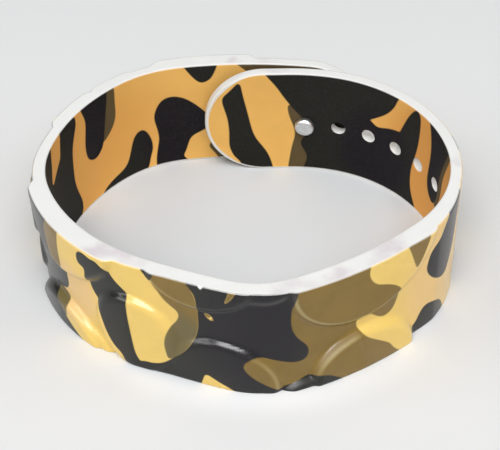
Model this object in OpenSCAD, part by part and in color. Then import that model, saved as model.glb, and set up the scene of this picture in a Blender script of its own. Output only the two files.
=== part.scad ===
// Wide silicone wristband with a press stud, fastened, standing on its edge.
// The strap is one moulding. It starts at the plain round end that carries the stud, runs
// behind the wrist, down the left side, across the front and up the right side, and ends as
// the tongue, whose hole is pressed over the stud on the inside of the loop.
// Lengths along the strap are measured on its inner face, from the end with the stud.

/* [Strap] */
// Width of the strap, which is its height as it stands
strap_w = 20; // [18:0.5:20]
// Thickness of the plain strap
wall_t = 1.8; // [1.4:0.1:1.8]
// Most extra thickness of the front, under the raised forms
front_t = 0.6; // [0:0.1:1]
// Height of the raised forms, as a share of their full height
relief_share = 1; // [0:0.1:1.2]
// Width of the rounded shoulder of a raised form
shoulder_w = 1.6; // [1:0.1:2.4]

/* [Holes] */
// Diameter of a hole
hole_d = 2.4; // [2.2:0.1:2.8]
// Distance from one open hole to the next
hole_pitch = 5.4; // [4.5:0.1:6]
// Distance from the stud to the first open hole
stud_pitch = 5.8; // [5:0.1:6.4]
// Number of open holes
open_holes = 5; // [1:1:6]
// Height of the holes over the bottom edge
hole_z = 9.6; // [9:0.1:11]
// Distance from the tip of the tongue to the hole on the stud
tip_to_stud = 16.7; // [16.5:0.1:16.9]

/* [Stud] */
// Distance from the plain end to the stud
end_to_stud = 10.4; // [10:0.1:10.8]
// Diameter of the stud's head, inside the loop
head_d = 3.3; // [3:0.1:4.4]
// Height of the stud's head
head_h = 0.9; // [0.6:0.1:1.2]
// Width of the bevel round the head
bevel_w = 0.5; // [0.3:0.1:0.8]
// Diameter of the stud's neck, which passes through both layers
neck_d = 2.1; // [1.6:0.1:2.1]
// Diameter of the stud's foot, outside the loop
foot_d = 6; // [4:0.5:7]
// Thickness of the stud's foot
foot_t = 0.8; // [0.5:0.1:1]
// Least gap between the stud and the silicone under its head and its foot
stud_gap = 0.15; // [0.1:0.05:0.2]

/* [Hidden] */

// Where the strap starts in plan, and the way that it heads there
START = [20.85, 21.8];
START_HEADING = 160;

// The strap's line in plan, as arcs that follow each other
LEN = 0; // length of the arc
TURN = 1; // its turn to the left, in degrees
bends = [
    [32, 27], // back, behind the tongue
    [10, 32], // back left
    [20, 40], // left
    [9, 32], // left side
    [22, 44], // front left
    [13, 5], // front, nearly straight
    [8, 38], // lowest point of the front
    [22, 23], // front right
    [18, 55], // right side
    [27, 68], // back right
    [7, 14], // under the stud
    [14, 3], // tongue, nearly straight
];

// The raised forms on the outer face, each a flat pebble with an oval outline
FORM_S = 0; // place of its middle along the strap
FORM_Z = 1; // height of its middle
FORM_A = 2; // half its length
FORM_B = 3; // half its height
FORM_TILT = 4; // tilt, in degrees
FORM_RISE = 5; // how far it stands out
forms = [
    [20.5, 1, 7.5, 7.5, 0, 0.8],
    [27.5, 21, 8.5, 9, 0, 1.1],
    [35, 2, 7.5, 8, 0, 0.8],
    [43, 20.5, 4, 6, 0, 0.5],
    [48, 5, 6.5, 8, 0, 0.8],
    [51.5, 20.5, 5, 7, 0, 0.7],
    [63, 13, 8, 5, 0, 0.8],
    [64, 5.2, 7, 3.2, 0, 0.5],
    [78.1, -2.3, 8.6, 8.2, -9, 1.2],
    [79, 21, 10.5, 9.5, 8, 0.9],
    [83, -2.5, 5.5, 6, 0, 0.7],
    [92, 6.5, 6.6, 7.9, 15, 0.9],
    [98.5, -2, 5.5, 5.5, 0, 0.8],
    [102, 20.5, 8, 5.8, 6, 0.5],
    [104.5, 1, 8.2, 8.7, 0, 0.8],
    [110.3, 22.5, 4.8, 5, 0, 0.4],
    [116.3, -2.5, 5, 4.5, 0, 0.9],
    [124.9, 0, 8.9, 8.2, 0, 1.3],
    [125.3, 20.5, 12.3, 10.6, 20, 0.7],
];

// How much of the front's extra thickness there is at places along the strap, and in between
FRONT = [[58, 0], [78, 1], [91, 1], [97, 0.3], [110, 0.3], [114, 1], [132, 1], [138, 1.5], [147, 0]];

// How far a hole's cutter reaches past a free face, and into the gap behind the tongue
OVER = 1;
BEHIND = 0.3;

// Width of the bevel round the stud's foot
FOOT_BEVEL = 0.3;

// How finely the strap's surface is drawn
STEP = 2; // length of one stretch of wall that has raised forms
PLAIN_STEP = 3; // length of one stretch of plain wall
TIP_STEPS = 7; // stretches round each end
ROWS = 12; // rows up the outer face
PLAIN_TO = 12; // the plain wall behind the tongue ends here
PLAIN_FROM = 152; // the plain wall of the tongue starts here

tip_r = strap_w / 2;
bend_count = len(bends);
strap_len = sum_to(bend_count);

// Length of the first n bends
function sum_to(n) = n == 0 ? 0 : bends[n - 1][LEN] + sum_to(n - 1);

// The bend that a place on the strap lies in
function bend_at(s, k = 0) =
    (k < bend_count - 1 && s > sum_to(k + 1)) ? bend_at(s, k + 1) : k;

// End of an arc that starts at p = [x, y, heading]
function arc_end(p, length, turn) =
    let (chord = turn == 0 ? length : length * sin(turn / 2) / (turn / 2 * PI / 180))
    [
        p[0] + chord * cos(p[2] + turn / 2),
        p[1] + chord * sin(p[2] + turn / 2),
        p[2] + turn
    ];

// Start of each bend, as [x, y, heading]
bend_starts = [
    for (
        k = 0, p = [START[0], START[1], START_HEADING];
        k < bend_count;
        p = arc_end(p, bends[k][LEN], bends[k][TURN]), k = k + 1
    ) p
];

// The inner face in plan at the length s, as [x, y, heading]
function place(s) =
    let (k = bend_at(s), part = s - sum_to(k))
    arc_end(bend_starts[k], part, bends[k][TURN] * part / bends[k][LEN]);

// A point at the length s and the height z, out from the inner face by depth
function on_strap(s, z, depth) =
    let (p = place(s))
    [p[0] + depth * sin(p[2]), p[1] - depth * cos(p[2]), z];

// Way out of the loop at the length s, square to the strap
function facing(s) = [sin(place(s)[2]), -cos(place(s)[2]), 0];

// Height of one raised form at a point of the outer face
function form_height(f, s, z) =
    let (
        c = cos(f[FORM_TILT]),
        n = sin(f[FORM_TILT]),
        u = (s - f[FORM_S]) * c + (z - f[FORM_Z]) * n,
        v = (z - f[FORM_Z]) * c - (s - f[FORM_S]) * n,
        q = pow(u / f[FORM_A], 2) + pow(v / f[FORM_B], 2),
        slope = 2 * norm([u / pow(f[FORM_A], 2), v / pow(f[FORM_B], 2)]),
        inside = min(1, (1 - q) / max(slope, 0.001) / shoulder_w)
    )
    q >= 1 ? 0 : f[FORM_RISE] * inside * (2 - inside);

// Height of the highest raised form at a point of the outer face
function relief(s, z) = relief_share * max([for (f = forms) form_height(f, s, z)]);

// Thickness of the strap at a point
function thickness(s, z) = wall_t + front_t * lookup(s, FRONT) + relief(s, z);

// Half the strap's height at the length s, less where its ends are round
function half_height(s) =
    let (to_end = min(s, strap_len - s))
    to_end >= tip_r ? tip_r : sqrt(tip_r * tip_r - pow(tip_r - to_end, 2));

// The stud goes through the tongue's own hole at tongue_s, where the tongue's inner face is
// tongue_depth further in. The two layers are not quite parallel, so the head gets room for
// the difference.
tongue_s = strap_len - tip_to_stud;
to_tongue = on_strap(end_to_stud, hole_z, 0) - on_strap(tongue_s, hole_z, 0);
tongue_depth = to_tongue * facing(end_to_stud);
layers_tilt = abs((place(tongue_s)[2] - place(end_to_stud)[2]) % 360);
head_seat = tongue_depth + head_d / 2 * sin(layers_tilt) + stud_gap;

// Lengths at which the strap is cut into stretches, closer round its ends
tip_cuts = [for (i = [1:TIP_STEPS]) tip_r * (1 - cos(90 * i / TIP_STEPS))];
form_steps = round((PLAIN_FROM - PLAIN_TO) / STEP);
plain_steps = round((strap_len - tip_r - PLAIN_FROM) / PLAIN_STEP);
cuts = concat(
    tip_cuts,
    [for (i = [0:form_steps]) PLAIN_TO + (PLAIN_FROM - PLAIN_TO) * i / form_steps],
    [for (i = [1:plain_steps - 1]) PLAIN_FROM + (strap_len - tip_r - PLAIN_FROM) * i / plain_steps],
    [for (i = [TIP_STEPS - 1:-1:0]) strap_len - tip_cuts[i]]
);

// Outline of the strap across its width at the length s: up the outer face, down the inner
function section(s) =
    let (h = half_height(s))
    concat(
        [
            for (i = [0:ROWS])
            let (z = tip_r + h * (2 * i / ROWS - 1))
            on_strap(s, z, thickness(s, z))
        ],
        [on_strap(s, tip_r + h, 0), on_strap(s, tip_r - h, 0)]
    );

// The wall is one skin of triangles through the sections, closed by a fan at each tip
module strap_wall() {
    side = ROWS + 3;
    last = len(cuts) - 1;
    first_tip = len(cuts) * side;
    last_tip = first_tip + 1;
    polyhedron(
        points = concat(
            [for (s = cuts) each section(s)],
            [
                on_strap(0, tip_r, wall_t / 2),
                on_strap(strap_len, tip_r, wall_t / 2)
            ]
        ),
        faces = concat(
            [for (j = [0:side - 1]) [first_tip, (j + 1) % side, j]],
            [
                for (i = [0:last - 1], j = [0:side - 1])
                let (a = i * side + j, b = i * side + (j + 1) % side)
                each [[a, b, b + side], [a, b + side, a + side]]
            ],
            [for (j = [0:side - 1]) [last_tip, last * side + j, last * side + (j + 1) % side]]
        )
    );
}

// Turns its children so that their +Z points out of the strap at the length s
module facing_out(s, z, depth) {
    translate(on_strap(s, z, depth))
    rotate([0, 0, place(s)[2] - 90])
    rotate([0, 90, 0])
    children();
}

// One open hole of the tongue. A hole over the plain end stops short of it.
module open_hole(s) {
    past = tongue_s - s < end_to_stud + hole_d ? BEHIND : OVER;
    facing_out(s, hole_z, -OVER)
    cylinder(d = hole_d, h = OVER + wall_t + past, $fn = 32);
}

module strap() {
    color([0.87, 0.64, 0.36])
    difference() {
        strap_wall();
        // one hole for the stud goes through both layers
        facing_out(end_to_stud, hole_z, -tongue_depth - OVER)
        cylinder(d = hole_d, h = OVER + tongue_depth + wall_t + OVER, $fn = 32);
        for (i = [0:open_holes - 1])
        open_hole(tongue_s - stud_pitch - i * hole_pitch);
    }
}

// The stud: a flat foot outside, a neck through both layers and a bevelled head inside
module stud() {
    foot = wall_t + stud_gap;
    head = -head_seat;
    color([0.78, 0.79, 0.8])
    facing_out(end_to_stud, hole_z, 0)
    rotate_extrude($fn = 64)
    polygon([
        [0, foot + foot_t],
        [foot_d / 2 - FOOT_BEVEL, foot + foot_t],
        [foot_d / 2, foot + foot_t - FOOT_BEVEL],
        [foot_d / 2, foot],
        [neck_d / 2, foot],
        [neck_d / 2, head],
        [head_d / 2, head],
        [head_d / 2, head - head_h / 2],
        [head_d / 2 - bevel_w, head - head_h],
        [0, head - head_h]
    ]);
}

strap();
stud();
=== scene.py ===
"""Looks of a wide silicone wristband with a camouflage print, fastened with a press stud.

The strap is one mesh: a flat strap with round ends and holes is drawn in (length, height),
bent along the wrist line, given its raised forms, and printed on both faces.
Lengths are in mm until a mesh is made.
"""

import bmesh
import bpy
import numpy as np
from mathutils import Euler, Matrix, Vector


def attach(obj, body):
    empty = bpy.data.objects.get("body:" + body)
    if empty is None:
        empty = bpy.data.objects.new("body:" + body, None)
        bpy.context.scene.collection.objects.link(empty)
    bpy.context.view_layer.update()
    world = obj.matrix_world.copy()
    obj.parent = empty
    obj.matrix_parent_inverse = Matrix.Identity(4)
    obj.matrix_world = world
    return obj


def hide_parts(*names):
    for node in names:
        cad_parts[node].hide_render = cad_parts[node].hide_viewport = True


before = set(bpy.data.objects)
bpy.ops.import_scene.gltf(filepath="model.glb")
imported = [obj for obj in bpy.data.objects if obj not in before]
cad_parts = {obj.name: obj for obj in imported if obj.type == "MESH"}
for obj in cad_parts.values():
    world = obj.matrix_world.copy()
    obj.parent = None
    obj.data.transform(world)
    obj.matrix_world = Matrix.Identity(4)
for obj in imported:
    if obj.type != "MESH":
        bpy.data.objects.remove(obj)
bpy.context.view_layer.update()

bl_info = {
    "name": "Silicone wristband",
    "version": (1, 0, 0),
    "blender": (4, 5, 0),
    "location": "View3D > Sidebar > Wristband",
    "description": "Builds a printed silicone wristband, its press stud and a studio stage",
    "category": "Object",
}

MM = 0.001

# The strap's line and forms, as in the part

# Where the strap starts in plan, in mm, and the way that it heads there, in degrees
START = (20.85, 21.8)
START_HEADING = 160

# The strap's line in plan, as arcs that follow each other: length in mm, turn in degrees.
# Another program fitted them to the loop's edge, in whole millimetres and degrees.
BENDS = [
    (32, 27),  # back, behind the tongue
    (10, 32),  # back left
    (20, 40),  # left
    (9, 32),  # left side
    (22, 44),  # front left
    (13, 5),  # front, nearly straight
    (8, 38),  # lowest point of the front
    (22, 23),  # front right
    (18, 55),  # right side
    (27, 68),  # back right
    (7, 14),  # under the stud
    (14, 3),  # tongue, nearly straight
]
STRAP_LEN = sum(length for length, _ in BENDS)

# The raised forms of the outer face: place along the strap, height, half length,
# half height, tilt in degrees, and how far it stands out
FORMS = [
    (20.5, 1, 7.5, 7.5, 0, 0.8),
    (27.5, 21, 8.5, 9, 0, 1.1),
    (35, 2, 7.5, 8, 0, 0.8),
    (43, 20.5, 4, 6, 0, 0.5),
    (48, 5, 6.5, 8, 0, 0.8),
    (51.5, 20.5, 5, 7, 0, 0.7),
    (63, 13, 8, 5, 0, 0.8),
    (64, 5.2, 7, 3.2, 0, 0.5),
    (78.1, -2.3, 8.6, 8.2, -9, 1.2),
    (79, 21, 10.5, 9.5, 8, 0.9),
    (83, -2.5, 5.5, 6, 0, 0.7),
    (92, 6.5, 6.6, 7.9, 15, 0.9),
    (98.5, -2, 5.5, 5.5, 0, 0.8),
    (102, 20.5, 8, 5.8, 6, 0.5),
    (104.5, 1, 8.2, 8.7, 0, 0.8),
    (110.3, 22.5, 4.8, 5, 0, 0.4),
    (116.3, -2.5, 5, 4.5, 0, 0.9),
    (124.9, 0, 8.9, 8.2, 0, 1.3),
    (125.3, 20.5, 12.3, 10.6, 20, 0.7),
]

# How much of the front's extra thickness there is at places along the strap, and in between
FRONT_PLACES = [58, 78, 91, 97, 110, 114, 132, 138, 147]
FRONT_SHARES = [0, 1, 1, 0.3, 0.3, 1, 1, 1.5, 0]

# How far the print keeps off the edges, in mm along the strap and up it
TIP_MARGIN = 0.4  # extra width of the inner face's bare edge round the tongue's tip
TIP_FADE = (STRAP_LEN - 8, STRAP_LEN - 3)  # lengths between which that sets in
BOTTOM_MARGIN = 0.2  # extra width of that bare edge along the bottom
BOTTOM_FADE = (2, 6)  # heights between which that fades out
TOP_FADE = (4, 6)  # heights between which the outer face's bare top edge sets in
MIDDLE = 10  # height of the strap's middle
INK_REACH = 1.5  # distance from a patch's outline up to which depth is measured

# The print's patches, as outlines on the unrolled strap: (length along it, height) in mm.
# A point given twice is a sharp corner. Patches reach past the edges, where the strap ends them.
# Where the print shows, the points were read off and laid on the strap by another program,
# so they aren't round numbers.
INNER_PRINT = [
    ("olive", [(43.6, 22), (43.6, 17.5), (43.6, 15), (44.1, 13.2), (45.3, 11.6), (47.5, 10.5),
               (48, 14), (47, 22)]),
    ("olive", [(26.8, 3.9), (27.3, 2.9), (26.8, 1.9), (25.8, 0.4), (24.5, -1.5), (19, -1.5),
               (20, 4), (24, 5.5)]),
    ("olive", [(21.5, 22), (20.5, 19), (19, 17.5), (14, 17), (8, 17.5), (3, 18.5), (-1, 22)]),
    ("olive", [(187.7, 13.9), (188, 12.6), (187.7, 11), (187, 8.8), (186.9, 7.1),
               (187.4, 4.9), (187.7, 2.3), (187.8, -2), (183, -2), (183, 8), (185, 12)]),
    ("olive", [(157.5, 5.5), (156, 7), (155, 10), (154.5, 14), (151.5, 19.5), (150, 22),
               (154, 22), (157, 14)]),
    ("dark", [(54.5, 22), (54.4, 16.1), (54.8, 12.4), (55.1, 8.4), (54.9, 5), (56, -2),
              (84, -2), (87, 4), (85, 10), (88, 16), (86, 22)]),
    ("dark", [(51.2, 22), (50.6, 18.5), (50.4, 16.4), (51, 13.5), (51.1, 11.5), (50.7, 9.5),
              (49, 8.5), (47.6, 9.4), (46.7, 11), (45.8, 16), (45, 22)]),
    ("dark", [(38.9, 8.9), (40.2, 8.4), (41.1, 6.7), (42, 3.9), (43.3, 2.5), (45.4, 1.8),
              (47.7, 0.8), (49, -1.5), (40, -2), (38, 2.4), (37.3, 4), (37.3, 5.9),
              (37.9, 7.8)]),
    ("dark", [(31.5, 22), (30.8, 19.9), (29.9, 18.3), (28.9, 17), (28, 16.5), (27, 16.9),
              (26.1, 18), (25, 22), (28, 24)]),
    ("dark", [(36.6, 10.6), (35.8, 12.8), (34.6, 14), (32.8, 14.2), (31, 13.5), (29.4, 12.2),
              (27.7, 10.3), (27, 8.6), (27.6, 6.9), (29.7, 5.8), (30.7, 4.6), (31.3, 2.6),
              (31.9, 1.3), (31.4, 0.5), (31, -2), (36.6, -2), (36.4, 3.6), (36, 5.8),
              (36.2, 8.3)]),
    ("dark", [(199, 15.2), (198.1, 16.3), (197.1, 17.4), (196, 18.4), (195.6, 16.5),
              (195.2, 14.4), (194.6, 11.3), (194, 8.2), (193.2, 6.3), (192.1, 4.5),
              (191.2, 2.4), (190.6, -2), (194, -3), (196, 1.3), (197, 2.5), (197.7, 3.9),
              (198.1, 5.6), (198, 8), (198.2, 11), (198.7, 13.2)]),
    ("dark", [(192.5, 23), (180, 23), (168, 23), (168.8, 19.8), (169.1, 18.3), (170.2, 16.4),
              (171.6, 14.9), (173.8, 13.2), (173.8, 13.2), (172.8, 12.4), (171.8, 12.4),
              (170, 13.1), (168, 13.5), (168, 13.5), (167.5, 14.6), (166.5, 17.1),
              (165.3, 19.1), (164.3, 19.9), (163.5, 19.2), (163.3, 17.8), (163.4, 14.7),
              (163.9, 11.5), (164.6, 9), (164.9, 6.3), (164.7, 3.7), (164, 1.5), (163.5, -2),
              (175, -2), (185, -2), (184.8, 1.5), (184.9, 3.3), (185.6, 4.7), (185.9, 5.9),
              (185.3, 7.1), (184.4, 8.2), (184.6, 9.8), (185.6, 11), (186.5, 12.1),
              (187.7, 13.7), (189.3, 16.3), (190.3, 18.3)]),
    ("dark", [(161.6, 23), (160.8, 20), (160.3, 17.8), (159.9, 15), (160.1, 11.9),
              (160.4, 9), (159.9, 6.8), (158.7, 5.6), (157.6, 5.9), (156.6, 8),
              (156.4, 10.8), (155.6, 14.3), (153.2, 19.4), (152, 23)]),
    ("base", [(61, 21), (57.5, 21), (58.2, 17.3), (58.5, 15.7), (59.6, 15), (61.6, 13.8),
              (62.9, 13.7), (62.5, 15.5), (61.7, 17.5)]),
    ("dark", [(-2, 5), (3, 5), (6.5, 6.5), (8, 9.5), (6.5, 12.5), (3, 14.5), (-2, 14.5)]),
]

OUTER_PRINT = [
    ("olive", [(74, 22), (79.8, 22), (79.7, 19), (79.5, 16), (79.6, 13.6), (79, 11.5), (76, 10),
               (74, 12), (74, 18)]),
    ("olive", [(76, 7), (77.4, 6.8), (79, 6.6), (79.7, 5.4), (79.6, 3.9), (79.3, 2.2),
               (78, 3), (76.5, 4.8)]),
    ("olive", [(95, 23), (100.3, 23), (100.8, 19.5), (101.4, 18), (101.7, 16.2),
               (101.6, 13.6), (101.6, 11.6), (101.2, 9.4), (100.4, 7.6), (99.1, 5.6),
               (97.2, 3.6), (96.7, 5), (96.5, 6.9), (96.9, 8.7), (97.4, 10), (98.2, 11.1),
               (98.7, 12.6), (98.2, 13.6), (96.8, 14.7), (95.8, 16.5), (95.1, 18.7)]),
    ("olive", [(112, 23), (124.5, 23), (124.6, 19.7), (125.1, 17.6), (126.2, 16),
               (127.8, 15.1), (129.5, 13.8), (130.6, 12.2), (130.4, 10.5), (129.9, 9),
               (129.1, 8.1), (128, 7.9), (127, 8.5), (125.9, 9.6), (124.8, 10.4),
               (123.8, 10.4), (123.4, 9.3), (123.6, 8.1), (124.4, 7), (125.5, 5.8),
               (127.5, 4), (128.7, 2.6), (129.5, 0.5), (130.5, -3), (108, -3), (107, 5),
               (110, 10), (111, 14), (112, 18)]),
    ("olive", [(131, 22), (131.8, 19), (132.8, 15.6), (133.2, 15.2), (133.8, 16), (134.6, 18),
               (135.4, 22)]),
    ("dark", [(76, 22), (75.9, 19), (76.2, 15.5), (76.8, 13.3), (78.4, 12.2), (79.4, 11.9),
              (79.5, 10.4), (79.6, 8.8), (79, 7.5), (77.9, 6.8), (76.6, 6.4), (77.2, 5),
              (78.4, 3.7), (79.6, 2.4), (81, 1.2), (82.6, 0.1), (84, -1.5), (82, -4),
              (58, -2), (56, 5), (58, 12), (56, 18), (57, 22)]),
    ("olive", [(66.5, 23), (67.5, 19), (66.5, 15.5), (64, 13), (61.5, 12.6), (60.3, 14.5),
               (61.6, 17), (61.5, 20), (60, 23)]),
    ("base", [(59.5, -3), (59.3, 1.5), (60.8, 5), (62.6, 8.3), (64.8, 8.6), (65.6, 6),
              (64.6, 3), (65.4, -3)]),
    ("dark", [(83.7, 18.2), (84, 16.8), (85, 16.6), (84.7, 14.2), (85.1, 11.9), (86, 10.5),
              (86.7, 9), (87.1, 7), (87.9, 4.3), (89, 2.5), (90.1, 1.2), (91, -3), (95, -3),
              (92.4, 1.5), (91.8, 4.3), (91.5, 7.8), (91.3, 10.9), (91.3, 13.3),
              (91.1, 14.4), (89.9, 15.5), (88.8, 16.8), (87.9, 18.7), (87, 19.3),
              (86.2, 19.2), (85.2, 19.6), (84.2, 19.4)]),
    ("dark", [(92.5, 23), (96, 23), (95.5, 20), (95, 18.6), (94.5, 18.6), (93.5, 20)]),
    ("dark", [(100.5, 23), (100.7, 19.7), (101.4, 18.2), (101.7, 16.3), (101.6, 13.6),
              (101.6, 11.6), (101.2, 9.4), (100.4, 7.6), (99.1, 5.6), (97.2, 3.6),
              (95.8, 2.4), (94, 1.8), (92.5, 1.5), (91, -3), (121, -3), (120, 0.3),
              (119.3, 1.4), (118, 2.2), (116.8, 2.1), (114.9, 1.8), (112.4, 0.6),
              (111.5, 1.2), (110.4, 2), (109.3, 3.1), (108.3, 4.5), (107.9, 5.9),
              (108.7, 7.1), (109.7, 7.3), (111.1, 6.7), (112.9, 5.9), (114.7, 5.4),
              (115.8, 5.9), (116.1, 7.2), (115.7, 8.6), (114.8, 9.9), (114, 11.6),
              (113.7, 13.4), (113.7, 15.4), (113.8, 18), (113.5, 23)]),
    ("dark", [(146, 23), (141, 22), (140.3, 20), (139.2, 18.7), (138, 16.8), (136.5, 15.6),
              (135.9, 13.7), (135.8, 12.1), (136.9, 10), (139, 8.2), (140.6, 8),
              (141.7, 9.6), (142.9, 12.2), (143.6, 15.1), (144.3, 17.9)]),
    ("dark", [(137.5, 4.4), (136.1, 4.8), (135.1, 3.9), (134.5, 2.6), (133.8, 1.9),
              (133.2, 0.6), (133, -3), (140.5, -3), (140.5, 1), (139.2, 3.3)]),
    ("base", [(101.8, -2), (102.1, 0.5), (102.4, 2), (103, 2.3), (104, 1.7), (105.2, 1),
              (106.5, 0.2), (107.5, -2)]),
    ("olive", [(105.8, 17.8), (106.4, 18.3), (107.4, 20.5), (106.6, 20.5), (106.2, 19)]),
    ("olive", [(102.6, 14.5), (103, 13.6), (103.9, 13.1), (103.7, 14.1)]),
    ("base", [(103.2, 13.9), (103.5, 13.4), (103.9, 13.2), (103.7, 13.8)]),
]

# Where the outer ink has come off the edge, the same way
CHIPS = [[(101.9, 20.6), (102.2, 19.9), (102.5, 19.4), (102.8, 19.9), (103, 20.6)]]

# Stretches whose patches come again, turned half round, on the sides that are seen less:
# from, to, and the sum of a point's old and new place along the strap
INNER_AGAIN = [(20, 55, 142), (163, 192, 313)]
OUTER_AGAIN = [(91, 132, 133), (131, 146, 187), (72, 103, 247), (91, 122, 298)]

# Soft ovals where an ink has another tone: middle and half sizes in mm, and the tone's share.
# The dark ink turns purple-black, the outer sand warmer, the inner sand a darker orange of
# painted shade on the inner sides, and the outer olive greyer.
INNER_PURPLE = [(49, 14, 6, 9, 1), (32, 7, 8, 11, 1), (172.5, 7, 8, 10, 1), (158, 14, 5, 10, 1)]
OUTER_PURPLE = [(109, 11, 9, 13, 1), (139, 15, 5, 9, 1)]
# painted shade: a darker orange on the inner sides, away from the tongue
INNER_SHADE = [(62, 10, 32, 15, 0.7), (157, 10, 17, 15, 1)]
OUTER_WARM = [(81, 9, 5, 7, 1), (139.5, 10, 9, 13, 0.9), (149, 12, 6, 14, 1)]
OUTER_GREY = [(98, 7.5, 5.5, 7, 1), (78, 5, 4, 4, 1)]
TONE_FADE = (0.6, 1.1)  # shares of an oval's size between which its tone fades out

# Forms whose shoulder carries a painted highlight, a lighter line of ink, and duller gloss:
# number in FORMS, the way out from its middle to the lit stretch, from and to, in degrees,
# and how strong the line is there
LIGHT_LINES = [(18, 175, 350, 0.6), (17, 95, 190, 0.5), (16, 0, 420, 0.3), (14, 320, 440, 0.35),
        (13, 180, 370, 0.5)]
LIGHT_LINE_SETS_IN = 15  # degrees over which a painted light line sets in
LIGHT_LINE_FADES = 60  # degrees over which it fades out

# How finely the meshes are drawn
ROUNDING_ROWS = 3  # rows of a rounded edge or rim
CURVE_STEPS = 6  # points of an outline's curve for each of its corners
TIP_SPACING = 1.3  # distance between points round a tip, in grids
HOLE_CLEARANCE = 2  # width cleared round a hole, in grids
WALL_ROWS = (0.12, 0.88)  # rows on the bare edge and the hole walls, as shares of their width
STUD_TURNS = 96  # points round the stud
BEVEL_STEPS = 8  # stretches of a rounding of the stud
SHARP_ANGLE = 40  # degrees from which an edge of the stud stays sharp
MERGE_DISTANCE = 0.001  # mm within which points of the stud are one

# Which material a face has
OUTER_FACE, INNER_FACE, BARE = 0, 1, 2


def round_steps(count):
    """Shares of a rounding's width at which its rows lie, from the face to the edge."""
    return [1 - np.sin(np.pi / 2 * k / count) for k in range(1, count + 1)]


def drop(inset, radius):
    """How far a rounded edge falls at a distance from the rim."""
    left = np.clip(radius - inset, 0, radius)
    return radius - np.sqrt(radius**2 - left**2)


def ease(x, span):
    """Smooth step from 0 to 1 as x goes through the span."""
    t = np.clip((x - span[0]) / (span[1] - span[0]), 0, 1)
    return t * t * (3 - 2 * t)


class StrapLine:
    """The strap's inner face in plan, with its bends eased into each other."""

    STEP = 0.1  # mm between its points
    EASING = 1.2  # mm over which one bend eases into the next

    def __init__(self):
        self.s = np.arange(0, STRAP_LEN + self.STEP / 2, self.STEP)
        ends = np.cumsum([length for length, _ in BENDS])
        rates = np.array([turn / length for length, turn in BENDS])
        rate = rates[np.searchsorted(ends, self.s[:-1] + self.STEP / 2)]
        reach = int(3 * self.EASING / self.STEP)
        bell = np.exp(-0.5 * (np.arange(-reach, reach + 1) * self.STEP / self.EASING) ** 2)
        rate = np.convolve(np.pad(rate, reach, mode="edge"), bell / bell.sum(), "valid")
        self.heading = np.radians(
            START_HEADING + np.concatenate([[0], np.cumsum(rate) * self.STEP])
        )
        middle = (self.heading[1:] + self.heading[:-1]) / 2
        self.x = START[0] + np.concatenate([[0], np.cumsum(np.cos(middle)) * self.STEP])
        self.y = START[1] + np.concatenate([[0], np.cumsum(np.sin(middle)) * self.STEP])

    def at(self, s, z, depth):
        """Points at length s and height z, out from the inner face by depth."""
        heading = np.interp(s, self.s, self.heading)
        x = np.interp(s, self.s, self.x) + depth * np.sin(heading)
        y = np.interp(s, self.s, self.y) - depth * np.cos(heading)
        return np.column_stack([x, y, z + 0 * x])


def form_height(form, s, z, shoulder):
    """Height of one raised form at points of the outer face."""
    middle_s, middle_z, half_s, half_z, tilt, rise = form
    cosine = np.cos(np.radians(tilt))
    sine = np.sin(np.radians(tilt))
    along = (s - middle_s) * cosine + (z - middle_z) * sine
    up = (z - middle_z) * cosine - (s - middle_s) * sine
    oval = (along / half_s) ** 2 + (up / half_z) ** 2
    slope = 2 * np.hypot(along / half_s**2, up / half_z**2)
    inside = np.clip((1 - oval) / np.maximum(slope, 0.001) / shoulder, 0, 1)
    return rise * inside * (2 - inside)


def thickness(sizes, s, z):
    """Thickness of the strap at points of it."""
    front = np.interp(s, FRONT_PLACES, FRONT_SHARES)
    relief = np.max([form_height(f, s, z, sizes.shoulder) for f in FORMS], axis=0)
    return sizes.wall + sizes.front * front + sizes.relief * relief


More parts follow.
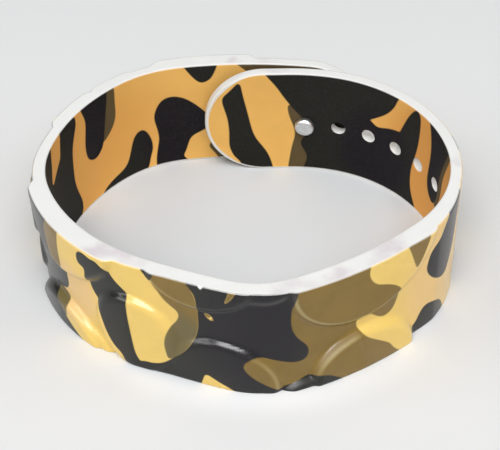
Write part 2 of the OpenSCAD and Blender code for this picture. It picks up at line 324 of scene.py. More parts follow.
def flat_strap(sizes, holes):
    """The strap laid flat: points (s, z), faces, and the loops round it and its holes."""
    tip = sizes.width / 2
    rows_in = round((tip - sizes.corner) / sizes.grid)
    radii = np.concatenate([
        np.linspace(0, tip - sizes.corner, rows_in + 1),
        [tip - sizes.corner * share for share in round_steps(ROUNDING_ROWS)],
    ])
    rows = np.concatenate([-radii[:0:-1], radii])
    across = len(rows)
    up = len(radii) - 1
    columns = np.linspace(tip, STRAP_LEN - tip, round((STRAP_LEN - 2 * tip) / sizes.grid) + 1)
    last = len(columns) - 1
    points = [(s, tip + z) for s in columns for z in rows]
    faces = []

    for i in range(last):
        for j in range(across - 1):
            a = i * across + j
            faces.append((a, a + across, a + across + 1, a + 1))

    # each round end is a half disc whose rings carry on from the rows
    fan = round(np.pi * tip / sizes.grid / TIP_SPACING)
    ends = []
    for column, way in ((0, 1), (last, -1)):
        middle = column * across + up
        rings = {}
        for k in range(1, up + 1):
            rings[k, 0] = middle + way * k
            rings[k, fan] = middle - way * k
            for a in range(1, fan):
                turn = np.pi * a / fan
                rings[k, a] = len(points)
                points.append((
                    columns[column] - way * radii[k] * np.sin(turn),
                    tip + way * radii[k] * np.cos(turn),
                ))
        for a in range(fan):
            faces.append((middle, rings[1, a], rings[1, a + 1]))
            for k in range(1, up):
                faces.append((rings[k, a], rings[k + 1, a], rings[k + 1, a + 1], rings[k, a + 1]))
        ends.append([rings[up, a] for a in range(1, fan)])
    loops = [
        [i * across for i in range(last + 1)]
        + ends[1]
        + [i * across + across - 1 for i in range(last, -1, -1)]
        + ends[0]
    ]

    # each hole takes out the faces round it and fills the gap with rings
    for centre in holes:
        radius = sizes.hole / 2
        reach = np.hypot(*(np.array(points) - centre).T)
        near = reach < radius + HOLE_CLEARANCE * sizes.grid
        gone = [f for f in faces if near[list(f)].any()]
        faces = [f for f in faces if not near[list(f)].any()]
        kept = {p for f in faces for p in f}
        around = {
            p: np.arctan2(points[p][1] - centre[1], points[p][0] - centre[0])
            for p in {p for f in gone for p in f} & kept
        }
        border = sorted(around, key=around.get)
        turns = [around[p] for p in border]
        insets = [sizes.rim * share for share in [2, 1, *round_steps(ROUNDING_ROWS)]]
        ring = border
        for inset in insets:
            new = []
            for turn in turns:
                new.append(len(points))
                points.append((
                    centre[0] + (radius + inset) * np.cos(turn),
                    centre[1] + (radius + inset) * np.sin(turn),
                ))
            count = len(ring)
            for a in range(count):
                b = (a + 1) % count
                faces.append((ring[a], ring[b], new[b], new[a]))
            ring = new
        loops.append(ring[::-1])
    return np.array(points), faces, loops


def smooth_outline(corners):
    """A closed smooth curve along the corners, as points. It is sharp at the doubled ones."""
    p = np.array(corners, float)
    # moved outwards a little, since the curve cuts its corners
    p = (8 * p - np.roll(p, 1, 0) - np.roll(p, -1, 0)) / 6
    before, after, beyond = np.roll(p, 1, 0), np.roll(p, -1, 0), np.roll(p, -2, 0)
    curve = []
    for t in np.linspace(0, 1, CURVE_STEPS, endpoint=False):
        curve.append((
            (1 - t) ** 3 * before
            + (3 * t**3 - 6 * t**2 + 4) * p
            + (-3 * t**3 + 3 * t**2 + 3 * t + 1) * after
            + t**3 * beyond
        ) / 6)
    return np.stack(curve, axis=1).reshape(-1, 2)


def depth_inside(points, outline):
    """Distance from an outline in mm, above 0 inside it and at most the inks' reach."""
    curve = smooth_outline(outline)
    depth = np.full(len(points), -INK_REACH)
    low, high = curve.min(0) - INK_REACH, curve.max(0) + INK_REACH
    near = ((points > low) & (points < high)).all(1)
    p = points[near][:, None, :]
    start, end = curve, np.roll(curve, -1, 0)
    side = end - start
    square = np.maximum((side**2).sum(1), 1e-9)
    share = np.clip(((p - start) * side).sum(2) / square, 0, 1)
    gap = np.sqrt(((p - start - share[:, :, None] * side) ** 2).sum(2)).min(1)
    # a point is inside where a line from it crosses the outline an odd number of times
    crosses = (start[:, 1] > p[:, :, 1]) != (end[:, 1] > p[:, :, 1])
    rise = np.where(side[:, 1] == 0, 1, side[:, 1])
    run = side[:, 0] * (p[:, :, 1] - start[:, 1]) / rise + start[:, 0]
    inside = (crosses & (p[:, :, 0] < run)).sum(1) % 2 == 1
    depth[near] = np.where(inside, 1, -1) * np.minimum(gap, INK_REACH)
    return depth


def paint(points, patches):
    """How deep each point lies inside the olive ink and inside the dark ink."""
    depths = {ink: np.full(len(points), -INK_REACH) for ink in ("olive", "dark")}
    for ink, outline in patches:
        depth = depth_inside(points, outline)
        for other in depths:
            if other == ink:
                depths[ink] = np.maximum(depths[ink], depth)
            elif ink != "dark":
                depths[other] = np.minimum(depths[other], -depth)
    return depths


def spots(points, ovals):
    """Share of a tone at points, full inside its ovals and fading out round them."""
    share = np.zeros(len(points))
    for s, z, half_s, half_z, most in ovals:
        away = np.hypot((points[:, 0] - s) / half_s, (points[:, 1] - z) / half_z)
        share = np.maximum(share, most * (1 - ease(away, TONE_FADE)))
    return share


def light_line_shares(s, z, shoulder):
    """How strong the painted light line is round some forms, and where on their shoulders each
    point is.
    """
    share, height = 0 * s, 0 * s
    for number, first, last, line_strength in LIGHT_LINES:
        middle_s, middle_z, *_, rise = FORMS[number]
        level = form_height(FORMS[number], s, z, shoulder) / rise
        way = (np.degrees(np.arctan2(z - middle_z, s - middle_s)) - first) % 360
        fading = ease(way, (last - first - LIGHT_LINE_FADES, last - first))
        along = ease(way, (0, LIGHT_LINE_SETS_IN)) * (1 - fading)
        here = level > height
        height = np.where(here, level, height)
        share = np.where(here, line_strength * along, share)
    return share, height


def repeated(patches, stretches):
    """The patches, and those of some stretches again, turned half round."""
    again = [
        (ink, [(total - s, 2 * MIDDLE - z) for s, z in outline])
        for first, last, total in stretches
        for ink, outline in patches
        if first <= min(s for s, _ in outline) and max(s for s, _ in outline) <= last
    ]
    return patches + again


def stadium_inset(points, width):
    """Distance of each point to the strap's outline."""
    tip = width / 2
    along = np.clip(points[:, 0], tip, STRAP_LEN - tip)
    return tip - np.hypot(points[:, 0] - along, points[:, 1] - tip)


def strap_mesh(sizes):
    """The strap's mesh, with the print as attributes of its points."""
    line = StrapLine()
    tongue = STRAP_LEN - sizes.tip_to_stud
    open_holes = [tongue - sizes.stud_pitch - k * sizes.pitch for k in range(sizes.open_holes)]
    holes = [(s, sizes.hole_height) for s in (sizes.end_to_stud, tongue, *open_holes)]
    flat, faces, loops = flat_strap(sizes, holes)
    s, z = flat.T

    rim = np.min([np.hypot(s - c[0], z - c[1]) for c in holes], axis=0) - sizes.hole / 2
    edge = stadium_inset(flat, sizes.width)
    fall = np.maximum(drop(edge, sizes.corner), drop(rim, sizes.rim))

    outer = line.at(s, z, thickness(sizes, s, z) - fall)
    inner = line.at(s, z, fall)
    count = len(flat)
    points = [outer, inner]
    polygons = list(faces) + [tuple(p + count for p in reversed(f)) for f in faces]
    looks = [OUTER_FACE] * len(faces) + [INNER_FACE] * len(faces)

    # the bare edge and the hole walls join the two faces
    total = 2 * count
    for loop in loops:
        loop = np.array(loop)
        rows = [loop + count]
        for share in WALL_ROWS:
            points.append(inner[loop] * (1 - share) + outer[loop] * share)
            rows.append(np.arange(total, total + len(loop)))
            total += len(loop)
        rows.append(loop)
        for low, high in zip(rows, rows[1:]):
            for a in range(len(loop)):
                b = (a + 1) % len(loop)
                polygons.append((low[a], low[b], high[b], high[a]))
                looks.append(BARE)

    outer_inks = paint(flat, repeated(OUTER_PRINT, OUTER_AGAIN))
    inner_inks = paint(flat, repeated(INNER_PRINT, INNER_AGAIN))
    walls = np.zeros(total - 2 * count)
    # painted highlight: how strong a lighter line along some forms' shoulders is, and where on
    # those forms each point lies
    light_line_share, line_form_height = light_line_shares(s, z, sizes.shoulder)
    # the inner print stops earlier at the tongue's tip and at the bottom edge, and the outer
    # print goes on round the bottom edge
    bare = TIP_MARGIN * ease(s, TIP_FADE)
    bare = np.maximum(bare, BOTTOM_MARGIN * (1 - ease(z, BOTTOM_FADE)))
    prints = {
        "olive_ink": [outer_inks["olive"], inner_inks["olive"], walls],
        "dark_ink": [outer_inks["dark"], inner_inks["dark"], walls],
        "purple_share": [spots(flat, OUTER_PURPLE), spots(flat, INNER_PURPLE), walls],
        "warm_and_shade_share": [spots(flat, OUTER_WARM), spots(flat, INNER_SHADE), walls],
        "grey_share": [spots(flat, OUTER_GREY), 0 * s, walls],
        "light_line_share": [light_line_share, 0 * s, walls],
        "line_form_height": [line_form_height, 0 * s, walls],
        "chipped": [np.max([depth_inside(flat, c) for c in CHIPS], axis=0), 0 * s - 1, walls],
        "edge_inset": [edge + 1 - ease(z, TOP_FADE), edge - bare, walls],
    }

    points = np.concatenate(points)
    used = np.zeros(len(points), bool)
    for polygon in polygons:
        used[list(polygon)] = True
    renumber = np.cumsum(used) - 1
    mesh = bpy.data.meshes.new("printed_strap")
    mesh.from_pydata(
        (points[used] * MM).tolist(), [], [[int(renumber[p]) for p in f] for f in polygons]
    )
    mesh.polygons.foreach_set("material_index", looks)
    mesh.polygons.foreach_set("use_smooth", [True] * len(polygons))
    for name, values in prints.items():
        layer = mesh.attributes.new(name, "FLOAT", "POINT")
        layer.data.foreach_set("value", np.concatenate(values)[used].astype(np.float32))
    mesh.update()
    return mesh


def stud_mesh(sizes, stud):
    """The press stud's mesh: a foot, a neck and a head with a rounded bevel."""
    line = StrapLine()
    foot_at, tongue_at = sizes.end_to_stud, STRAP_LEN - sizes.tip_to_stud
    headings = [np.interp(s, line.s, line.heading) for s in (foot_at, tongue_at)]
    out = np.array([np.sin(headings[0]), -np.cos(headings[0]), 0])
    across = np.array([np.cos(headings[0]), np.sin(headings[0]), 0])
    places = line.at(np.array([foot_at, tongue_at]), sizes.hole_height, 0)
    tilt = abs(np.sin(headings[1] - headings[0]))
    seat = (places[0] - places[1]) @ out + stud.head / 2 * tilt + stud.gap
    foot = sizes.wall + stud.gap

    # the outline of half the stud: distance from its axis, distance out of the strap
    rounding = [np.pi / 2 * k / BEVEL_STEPS for k in range(BEVEL_STEPS + 1)]
    outline = [(0, foot + stud.foot_height)]
    outline += [
        (stud.foot / 2 - stud.corner * (1 - np.sin(a)),
         foot + stud.foot_height - stud.corner * (1 - np.cos(a)))
        for a in rounding
    ]
    outline += [(stud.foot / 2, foot), (stud.neck / 2, foot), (stud.neck / 2, -seat)]
    outline += [(stud.head / 2, -seat), (stud.head / 2, -seat - stud.head_height / 2)]
    outline += [
        (stud.head / 2 - stud.bevel * (1 - np.cos(a)),
         -seat - stud.head_height / 2 * (1 + np.sin(a)))
        for a in rounding[1:]
    ]
    outline.append((0, -seat - stud.head_height))

    points = []
    for radius, depth in outline:
        for k in range(STUD_TURNS):
            turn = 2 * np.pi * k / STUD_TURNS
            side = radius * np.cos(turn) * across + np.array([0, 0, radius * np.sin(turn)])
            points.append(places[0] + depth * out + side)
    faces = []
    for row in range(len(outline) - 1):
        for k in range(STUD_TURNS):
            a = row * STUD_TURNS + k
            b = row * STUD_TURNS + (k + 1) % STUD_TURNS
            faces.append((a, a + STUD_TURNS, b + STUD_TURNS, b))
    mesh = bpy.data.meshes.new("rounded_stud")
    mesh.from_pydata((np.array(points) * MM).tolist(), [], faces)
    work = bmesh.new()
    work.from_mesh(mesh)
    bmesh.ops.remove_doubles(work, verts=work.verts, dist=MERGE_DISTANCE * MM)
    bmesh.ops.recalc_face_normals(work, faces=work.faces)
    for face in work.faces:
        face.smooth = True
    for edge in work.edges:
        edge.smooth = edge.calc_face_angle(0) < np.radians(SHARP_ANGLE)
    work.to_mesh(mesh)
    work.free()
    return mesh


# Materials

SILICONE_IOR = 1.4

# How many times noise turns in a metre
MOTTLE_SCALE = 260
GRAIN_SCALE = 2600
CLOUD_SCALE = 180
SMUDGE_SCALE = 90
POCK_SCALE = 1800
BRUSH_SCALE = 1100
FLOOR_SCALE = 3

NOISE_MIDDLE = (0.3, 0.7)  # the stretch of a noise's values that a soft change goes through
GRAIN_COLOUR = (0.3, 0.3, 0.3)
GRAIN_SHARE = 0.02  # most share of the grain's colour in the print

# Shares of a form's height between which the painted light line sets in, fades out, and turns
# dull
LIGHT_LINE_IN = (0.45, 0.8)
LIGHT_LINE_OUT = (0.82, 0.98)
LIGHT_LINE_DULL = (0.05, 0.4)
LIGHT_LINE_DULL_MOST = 0.6  # the line strength at which the shoulder is fully dull

# Depths of the fine bumps, in metres
GRAIN_DEPTH = 0.00002
POCK_DEPTH = 0.00003
BRUSH_DEPTH = 0.00004


class Nodes:
    """A new node material, with short ways to add nodes and to join them."""

    def __init__(self, name):
        self.material = bpy.data.materials.new(name)
        self.material.use_nodes = True
        self.tree = self.material.node_tree
        self.tree.nodes.clear()
        self.shader = self.add("ShaderNodeBsdfPrincipled")
        output = self.add("ShaderNodeOutputMaterial")
        self.join(self.shader.outputs["BSDF"], output.inputs["Surface"])

    def add(self, kind, **settings):
        """A new node of a kind, with its settings."""
        node = self.tree.nodes.new(kind)
        for name, value in settings.items():
            setattr(node, name, value)
        return node

    def join(self, start, end):
        """Joins an output to an input."""
        self.tree.links.new(start, end)

    def attribute(self, name):
        """One of the numbers that the mesh holds for each point."""
        return self.add("ShaderNodeAttribute", attribute_name=name).outputs["Fac"]

    def noise(self, scale, detail=3.0, stretch=(1, 1, 1)):
        """Noise in the object's own space, with scale in turns per metre."""
        place = self.add("ShaderNodeTexCoord").outputs["Object"]
        mapping = self.add("ShaderNodeMapping")
        mapping.inputs["Scale"].default_value = stretch
        self.join(place, mapping.inputs["Vector"])
        texture = self.add("ShaderNodeTexNoise")
        texture.inputs["Scale"].default_value = scale
        texture.inputs["Detail"].default_value = detail
        self.join(mapping.outputs["Vector"], texture.inputs["Vector"])
        return texture.outputs["Fac"]

    def span(self, value, low, high, to_low=0.0, to_high=1.0):
        """A value brought from one range to another, and kept in it."""
        node = self.add("ShaderNodeMapRange", interpolation_type="SMOOTHSTEP")
        for name, number in (("From Min", low), ("From Max", high),
                             ("To Min", to_low), ("To Max", to_high)):
            node.inputs[name].default_value = number
        self.join(value, node.inputs["Value"])
        return node.outputs["Result"]

    def product(self, a, b):
        """One output times another."""
        node = self.add("ShaderNodeMath", operation="MULTIPLY")
        self.join(a, node.inputs[0])
        self.join(b, node.inputs[1])
        return node.outputs["Value"]

    def oval(self, middle, radii, near, far):
        """Rises from 0 to 1 outwards in plan, between two sizes of an oval."""
        mapping = self.add("ShaderNodeMapping")
        mapping.inputs["Location"].default_value = (
            -middle[0] / radii[0], -middle[1] / radii[1], 0
        )
        mapping.inputs["Scale"].default_value = (1 / radii[0], 1 / radii[1], 0)
        place = self.add("ShaderNodeTexCoord").outputs["Object"]
        self.join(place, mapping.inputs["Vector"])
        away = self.add("ShaderNodeVectorMath", operation="LENGTH")
        self.join(mapping.outputs["Vector"], away.inputs[0])
        return self.span(away.outputs["Value"], near, far)

    def mix(self, share, a, b):
        """Two colours mixed, each a colour or the output of a node."""
        node = self.add("ShaderNodeMix", data_type="RGBA")
        self.join(share, node.inputs["Factor"])
        for value, letter in ((a, "A"), (b, "B")):
            socket = next(i for i in node.inputs if i.name == letter and i.type == "RGBA")
            if isinstance(value, bpy.types.NodeSocket):
                self.join(value, socket)
            else:
                socket.default_value = (*value, 1)
        return next(o for o in node.outputs if o.type == "RGBA")

    def bump(self, height, strength, distance):
        """Raises the surface by a height, whose full depth is the distance in metres."""
        node = self.add("ShaderNodeBump")
        node.inputs["Strength"].default_value = strength
        node.inputs["Distance"].default_value = distance
        self.join(height, node.inputs["Height"])
        self.join(node.outputs["Normal"], self.shader.inputs["Normal"])

    def finish(self, colour, **constants):
        """Joins the colour and sets the shader's other values."""
        self.join(colour, self.shader.inputs["Base Color"])
        for name, value in constants.items():
            self.shader.inputs[name].default_value = value
        return self.material


def shade(colour, factor):
    """A colour made lighter or darker."""
    return tuple(c * factor for c in colour)


def printed_silicone(name, colours, inks, margin, gloss, line_gloss, shine, texture):
    """Silicone with the camouflage print, bare along its edges, and with painted highlight lines
    along some forms' shoulders.
    """
    ground, warm, olive, grey, pale = (tuple(ink) for ink in inks)
    n = Nodes(name)
    mottle = n.span(n.noise(MOTTLE_SCALE), *NOISE_MIDDLE)
    grain = n.noise(GRAIN_SCALE, 2.0)
    base = n.mix(mottle, shade(ground, 0.96), ground)
    # a warmer tone on the outer face, and painted shade on the inner face
    base = n.mix(n.attribute("warm_and_shade_share"), base, warm)
    leaf = n.mix(mottle, shade(olive, 0.94), shade(olive, 1.06))
    leaf = n.mix(n.attribute("grey_share"), leaf, grey)
    # painted highlight: a lighter line of ink along some forms' shoulders, for the light that
    # they catch
    height = n.attribute("line_form_height")
    line = n.product(
        n.span(height, *LIGHT_LINE_IN), n.span(height, *LIGHT_LINE_OUT, 1.0, 0.0)
    )
    line_strength = n.attribute("light_line_share")
    leaf = n.mix(n.product(line, line_strength), leaf, pale)
    dark = n.mix(n.attribute("purple_share"), tuple(colours.green_black),
                 tuple(colours.purple_black))
    # the same painted highlight on the dark ink
    dark = n.mix(n.product(line, line_strength), dark, tuple(colours.highlight_black))
    soft = colours.ink_edge
    colour = n.mix(n.span(n.attribute("olive_ink"), -soft, soft), base, leaf)
    colour = n.mix(n.span(n.attribute("dark_ink"), -soft, soft), colour, dark)
    colour = n.mix(n.span(grain, 0.4, 0.75, 0.0, GRAIN_SHARE), colour, GRAIN_COLOUR)
    colour = n.mix(n.span(n.attribute("chipped"), -soft, soft), colour, tuple(colours.silicone))
    inset = n.span(n.attribute("edge_inset"), margin - soft, margin + soft)
    colour = n.mix(inset, tuple(colours.silicone), colour)
    n.bump(grain, texture, GRAIN_DEPTH)
    # the gloss is also duller under the painted light lines
    dull = n.product(n.span(height, *LIGHT_LINE_DULL), line_strength)
    roughness = n.span(dull, 0.0, LIGHT_LINE_DULL_MOST, gloss, line_gloss)
    n.join(roughness, n.shader.inputs["Roughness"])
    return n.finish(colour, IOR=SILICONE_IOR, **{"Specular IOR Level": shine})


def bare_silicone(colours):
    """The white silicone of the edge and of the hole walls."""
    n = Nodes("white_silicone")
    cloud = n.span(n.noise(CLOUD_SCALE), *NOISE_MIDDLE)
    white = tuple(colours.silicone)
    colour = n.mix(cloud, shade(white, 0.97), white)
    smudge = n.span(n.noise(SMUDGE_SCALE, 4.0), 0.56, 0.7, 0.0, 0.6)
    colour = n.mix(smudge, colour, tuple(colours.smudge))
    n.bump(n.noise(POCK_SCALE, 2.0), 0.15, POCK_DEPTH)
    return n.finish(colour, Roughness=0.5, IOR=SILICONE_IOR)


def brushed_steel(colour):
    """Worn steel of the press stud, with fine dents and brush marks."""
    n = Nodes("worn_steel")
    marks = n.noise(BRUSH_SCALE, 5.0, (1, 1, 3))
    tone = n.mix(n.span(marks, 0.35, 0.65), shade(colour, 0.85), shade(colour, 1.08))
    n.bump(marks, 0.2, BRUSH_DEPTH)
    return n.finish(tone, Roughness=0.38, Metallic=1.0)


# Settings


def millimetres(name, description, default, **limits):
    """A size in mm."""
    return bpy.props.FloatProperty(
        name=name, description=description + ", in mm", default=default, precision=2, **limits
    )


def tint(name, description, default):
    """A colour."""
    return bpy.props.FloatVectorProperty(
        name=name, description=description, default=default, subtype="COLOR", min=0, max=1
    )


def watts(name, description, default):
    """The power of a light."""
    return bpy.props.FloatProperty(
        name=name, description=description + ", in W", default=default, min=0
    )


class StrapSizes(bpy.types.PropertyGroup):
    """Sizes of the strap, the same as the part's."""

    width: millimetres("Width", "Width of the strap", 20.0, min=10)
    wall: millimetres("Wall", "Thickness of the plain strap", 1.8, min=1)
    front: millimetres("Front", "Extra thickness of the front", 0.6, min=0)
    relief: bpy.props.FloatProperty(
        name="Relief", description="Height of the raised forms, as a share", default=1.0,
        min=0, max=1.5, subtype="FACTOR",
    )
    shoulder: millimetres("Shoulder", "Width of a form's shoulder", 1.6, min=0.5)
    hole: millimetres("Hole", "Diameter of a hole", 2.4, min=1)
    pitch: millimetres("Pitch", "Distance from one open hole to the next", 5.4, min=4)
    stud_pitch: millimetres("Stud pitch", "Distance from the stud to an open hole", 5.8, min=4)
    open_holes: bpy.props.IntProperty(
        name="Open holes", description="Number of open holes", default=5, min=1, max=6
    )
    hole_height: millimetres("Hole height", "Height of the holes over the edge", 9.6, min=5)
    tip_to_stud: millimetres("Tip to stud", "From the tongue's tip to the stud", 16.7, min=12)
    end_to_stud: millimetres("End to stud", "From the plain end to the stud", 10.4, min=8)
    corner: millimetres("Corner", "Radius of the rounded edges", 0.25, min=0.1)
    rim: millimetres("Rim", "Radius of a hole's rounded rim", 0.1, min=0.05)
    grid: millimetres("Grid", "Distance between the mesh's points", 0.34, min=0.3)


class StudSizes(bpy.types.PropertyGroup):
    """Sizes of the press stud, the same as the part's."""

    head: millimetres("Head", "Diameter of the head, inside the loop", 3.3, min=2)
    head_height: millimetres("Head height", "Height of the head", 0.9, min=0.3)
    bevel: millimetres("Bevel", "Width of the rounded bevel round the head", 0.5, min=0.1)
    neck: millimetres("Neck", "Diameter of the neck", 2.1, min=1)
    foot: millimetres("Foot", "Diameter of the foot, outside the loop", 6.0, min=3)
    foot_height: millimetres("Foot height", "Thickness of the foot", 0.8, min=0.3)
    corner: millimetres("Corner", "Rounding of the foot", 0.3, min=0.05)
    gap: millimetres("Gap", "Least gap between the stud and the silicone", 0.15, min=0)


class PrintColours(bpy.types.PropertyGroup):
    """Colours of the silicone, the inks and the stud."""

    silicone: tint("Silicone", "White silicone", (0.82, 0.82, 0.8))
    smudge: tint("Smudge", "Faint purple smudges of ink on the silicone", (0.56, 0.47, 0.53))
    outer_ground: tint("Outer ground", "Sand of the outer face", (0.89, 0.62, 0.165))
    outer_warm: tint("Outer warm", "Warmer sand of the outer face", (0.86, 0.575, 0.23))
    inner_ground: tint("Inner ground", "Sand of the inner face", (0.94, 0.54, 0.14))
    # painted shade: the darker orange of the shaded inner sides
    inner_shaded_orange: tint("Inner warm", "Orange sand of the inner face", (0.78, 0.37, 0.085))
    outer_olive: tint("Outer olive", "Olive of the outer face", (0.225, 0.14, 0.027))
    grey_olive: tint("Grey olive", "Greyer olive of the outer face", (0.157, 0.122, 0.044))
    # painted highlight: the olive of the light lines on the forms' shoulders
    highlight_olive: tint("Worn olive", "Olive where forms wear it thin", (0.5, 0.42, 0.2))
    inner_olive: tint("Inner olive", "Olive brown of the inner face", (0.11, 0.075, 0.03))
    green_black: tint("Green black", "Dark green ink", (0.011, 0.011, 0.008))
    purple_black: tint("Purple black", "Dark purple ink", (0.007, 0.005, 0.008))
    # painted highlight: the dark ink of the light lines on the forms' shoulders
    highlight_black: tint("Worn black", "Dark ink where forms wear it thin", (0.06, 0.06, 0.055))
    steel: tint("Steel", "Steel of the stud", (0.66, 0.67, 0.68))
    ink_edge: millimetres("Ink edge", "Half width of an ink's soft edge", 0.12, min=0.01)
    outer_margin: millimetres("Outer margin", "Bare top edge of the outer face", 0.05, min=0.01)
    inner_margin: millimetres("Inner margin", "Bare edge of the inner face", 0.17, min=0.01)


class StageSettings(bpy.types.PropertyGroup):
    """Floor, lights and camera."""

    floor: tint("Floor", "Colour of the floor near the wristband", (0.745, 0.75, 0.755))
    # painted light: the floor away from the wristband is painted lighter than near it
    far: tint("Floor far", "Colour of the floor farther away", (0.785, 0.79, 0.795))
    # painted light: a pool of light painted on the floor round the wristband's front
    glow: tint("Floor glow", "Colour of the floor close to the front", (0.85, 0.855, 0.86))
    # painted shade: the floor inside the loop is painted darker and cooler
    inside: tint("Floor inside", "Colour of the floor inside the loop", (0.705, 0.735, 0.76))
    sky: bpy.props.FloatProperty(
        name="Sky", description="Strength of the even light", default=0.2, min=0
    )
    main: watts("Main light", "Power of the softbox above the front", 4.15)
    left: watts("Left light", "Power of the softbox on the left", 1.1)
    right: watts("Right light", "Power of the softbox on the right", 0.8)
    streak: watts("Streak light", "Power of the strip seen in the gloss", 5.3)
    low: watts("Low light", "Power of the low box seen in the gloss", 0.9)
    haze: watts("Haze", "Power of the wide screen seen in the gloss", 2.3)
    lens: bpy.props.FloatProperty(
        name="Lens", description="Focal length, in mm", default=94.03, min=10
    )


# Pieces

# Zones of the floor in plan, where light and shade are painted on it: middle and half sizes in
# metres, and the shares of the half sizes between which a zone gives way to the floor round it
NEAR_ZONE = ((0, -0.1), (0.13, 0.13), 0.5, 1.5)
GLOW_ZONE = ((0.002, -0.012), (0.022, 0.0165), 1.0, 1.35)
INSIDE_SHADE_ZONE = ((0, 0), (0.033, 0.029), 0.85, 1.0)
FLOOR_REACH = 1.5

# The lights: place, then width and height, in metres. Each faces the wristband.
MAIN_LIGHT = ((0, -0.35, 0.6), (0.5, 0.4))
LEFT_LIGHT = ((-0.55, -0.1, 0.4), (0.4, 0.4))
RIGHT_LIGHT = ((0.55, -0.1, 0.4), (0.4, 0.4))
STREAK_LIGHT = ((-0.15, -0.6, 0.25), (0.5, 0.18))
LOW_LIGHT = ((-0.45, -0.29, 0.1), (0.3, 0.14))
HAZE_LIGHT = ((0, -0.536, 0.45), (1.8, 1.1))

# The camera, fitted to the loop's edges: place in metres, angles in degrees
CAMERA_PLACE = (0.00035, -0.1517, 0.1456)
CAMERA_BELOW_LEVEL = 42.32
CAMERA_ROLL = -1.94
CAMERA_SHIFT = 0.0024  # share of the picture's width
SENSOR_WIDTH = 36  # in mm


def show(mesh, materials):
    """A new object of a mesh, with its materials, in the scene."""
    piece = bpy.data.objects.new(mesh.name, mesh)
    for material in materials:
        mesh.materials.append(material)
    bpy.context.scene.collection.objects.link(piece)
    return piece


class WRISTBAND_OT_strap(bpy.types.Operator):
    """Builds the printed strap, which stands for the part's plain one"""

    bl_idname = "wristband.strap"
    bl_label = "Printed strap"

    def execute(self, context):
        sizes, colours = context.scene.strap_sizes, context.scene.print_colours
        outer_inks = [
            colours.outer_ground, colours.outer_warm, colours.outer_olive, colours.grey_olive,
            colours.highlight_olive,
        ]
        inner_inks = [
            colours.inner_ground, colours.inner_shaded_orange, *[colours.inner_olive] * 3,
        ]
        outer = printed_silicone(
            "outer_print", colours, outer_inks, colours.outer_margin,
            gloss=0.22, line_gloss=0.55, shine=0.5, texture=0.2,
        )
        inner = printed_silicone(
            "inner_print", colours, inner_inks, colours.inner_margin,
            gloss=0.6, line_gloss=0.6, shine=0.2, texture=0.4,
        )
        strap = show(strap_mesh(sizes), [outer, inner, bare_silicone(colours)])
        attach(strap, "root")
        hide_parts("strap")
        return {"FINISHED"}


class WRISTBAND_OT_stud(bpy.types.Operator):
    """Builds the steel press stud, which stands for the part's plain one"""

    bl_idname = "wristband.stud"
    bl_label = "Press stud"

    def execute(self, context):
        scene = context.scene
        steel = brushed_steel(tuple(scene.print_colours.steel))
        stud = show(stud_mesh(scene.strap_sizes, scene.stud_sizes), [steel])
        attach(stud, "root")
        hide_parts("stud")
        return {"FINISHED"}


def softbox(name, place, size, power):
    """A rectangular area light that faces the wristband."""
    light = bpy.data.lights.new(name, "AREA")
    light.shape = "RECTANGLE"
    light.size, light.size_y = size
    light.energy = power
    lamp = bpy.data.objects.new(name, light)
    lamp.location = place
    lamp.rotation_euler = (-Vector(place)).to_track_quat("-Z", "Y").to_euler()
    bpy.context.scene.collection.objects.link(lamp)
    return lamp


def floor_paper(stage):
    """Pale paper of the floor, with painted light and shade in soft zones for the studio's uneven
    light.
    """
    n = Nodes("floor_paper")
    pale = tuple(stage.floor)
    colour = n.mix(n.span(n.noise(FLOOR_SCALE), *NOISE_MIDDLE), shade(pale, 0.99), pale)
    # painted light: the floor is lighter farther from the wristband
    colour = n.mix(n.oval(*NEAR_ZONE), colour, tuple(stage.far))
    # painted light: a glow painted on the floor close to the front
    colour = n.mix(n.oval(*GLOW_ZONE), tuple(stage.glow), colour)
    # painted shade on the floor inside the loop
    colour = n.mix(n.oval(*INSIDE_SHADE_ZONE), tuple(stage.inside), colour)
    return n.finish(colour, **{"Specular IOR Level": 0.0})


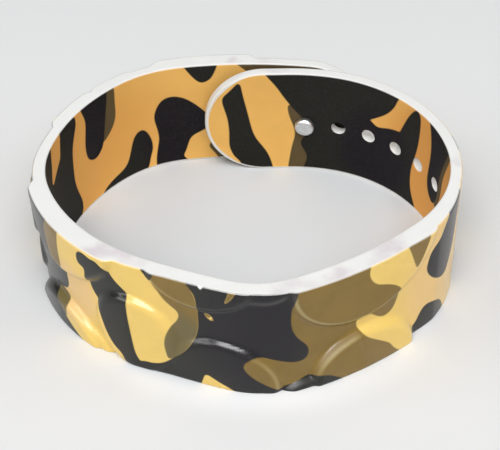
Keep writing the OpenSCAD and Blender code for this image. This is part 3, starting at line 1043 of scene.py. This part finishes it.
class WRISTBAND_OT_stage(bpy.types.Operator):
    """Builds the pale floor, the soft light and the camera"""

    bl_idname = "wristband.stage"
    bl_label = "Studio stage"

    def execute(self, context):
        stage = context.scene.stage_settings
        corners = [(-1, -1), (1, -1), (1, 1), (-1, 1)]
        mesh = bpy.data.meshes.new("floor")
        mesh.from_pydata(
            [(x * FLOOR_REACH, y * FLOOR_REACH, 0) for x, y in corners], [], [(0, 1, 2, 3)]
        )
        show(mesh, [floor_paper(stage)])

        world = bpy.data.worlds.new("studio")
        world.use_nodes = True
        sky = world.node_tree.nodes["Background"]
        sky.inputs["Color"].default_value = (1, 1, 1, 1)
        sky.inputs["Strength"].default_value = stage.sky
        context.scene.world = world
        context.scene.view_settings.view_transform = "Standard"

        softbox("main_light", *MAIN_LIGHT, stage.main)
        sides = [
            softbox("left_light", *LEFT_LIGHT, stage.left),
            softbox("right_light", *RIGHT_LIGHT, stage.right),
        ]
        # the side lights don't show in the gloss, and the next three show only there
        for lamp in sides:
            lamp.visible_glossy = False
        glosses = [
            softbox("streak_light", *STREAK_LIGHT, stage.streak),
            softbox("low_light", *LOW_LIGHT, stage.low),
            softbox("haze_light", *HAZE_LIGHT, stage.haze),
        ]
        for lamp in glosses:
            lamp.visible_diffuse = False

        lens = bpy.data.cameras.new("camera")
        lens.lens = stage.lens
        lens.sensor_width = SENSOR_WIDTH
        lens.shift_x = CAMERA_SHIFT
        camera = bpy.data.objects.new("camera", lens)
        camera.location = CAMERA_PLACE
        look = Euler((np.radians(90 - CAMERA_BELOW_LEVEL), 0, 0)).to_matrix()
        roll = Euler((0, 0, np.radians(CAMERA_ROLL))).to_matrix()
        camera.rotation_euler = (look @ roll).to_euler()
        context.scene.collection.objects.link(camera)
        context.scene.camera = camera
        return {"FINISHED"}


class WRISTBAND_PT_panel(bpy.types.Panel):
    """Lists the wristband's settings and pieces"""

    bl_label = "Wristband"
    bl_space_type = "VIEW_3D"
    bl_region_type = "UI"
    bl_category = "Wristband"

    def draw(self, context):
        layout = self.layout
        for group in SETTINGS:
            box = layout.box()
            settings = getattr(context.scene, group)
            for name in type(settings).__annotations__:
                box.prop(settings, name)
        for operator in OPERATORS:
            layout.operator(operator.bl_idname)


SETTINGS = {
    "strap_sizes": StrapSizes,
    "stud_sizes": StudSizes,
    "print_colours": PrintColours,
    "stage_settings": StageSettings,
}
OPERATORS = [WRISTBAND_OT_stage, WRISTBAND_OT_strap, WRISTBAND_OT_stud]


def register():
    """Makes the settings, the operators and the panel known."""
    for kind in (*SETTINGS.values(), *OPERATORS, WRISTBAND_PT_panel):
        bpy.utils.register_class(kind)
    for name, kind in SETTINGS.items():
        setattr(bpy.types.Scene, name, bpy.props.PointerProperty(type=kind))


def unregister():
    """Takes the settings, the operators and the panel away again."""
    for name in SETTINGS:
        delattr(bpy.types.Scene, name)
    for kind in reversed((*SETTINGS.values(), *OPERATORS, WRISTBAND_PT_panel)):
        bpy.utils.unregister_class(kind)


def main():
    """Builds everything."""
    register()
    bpy.ops.wristband.stage()
    bpy.ops.wristband.strap()
    bpy.ops.wristband.stud()
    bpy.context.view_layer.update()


if __name__ == "__main__":
    main()
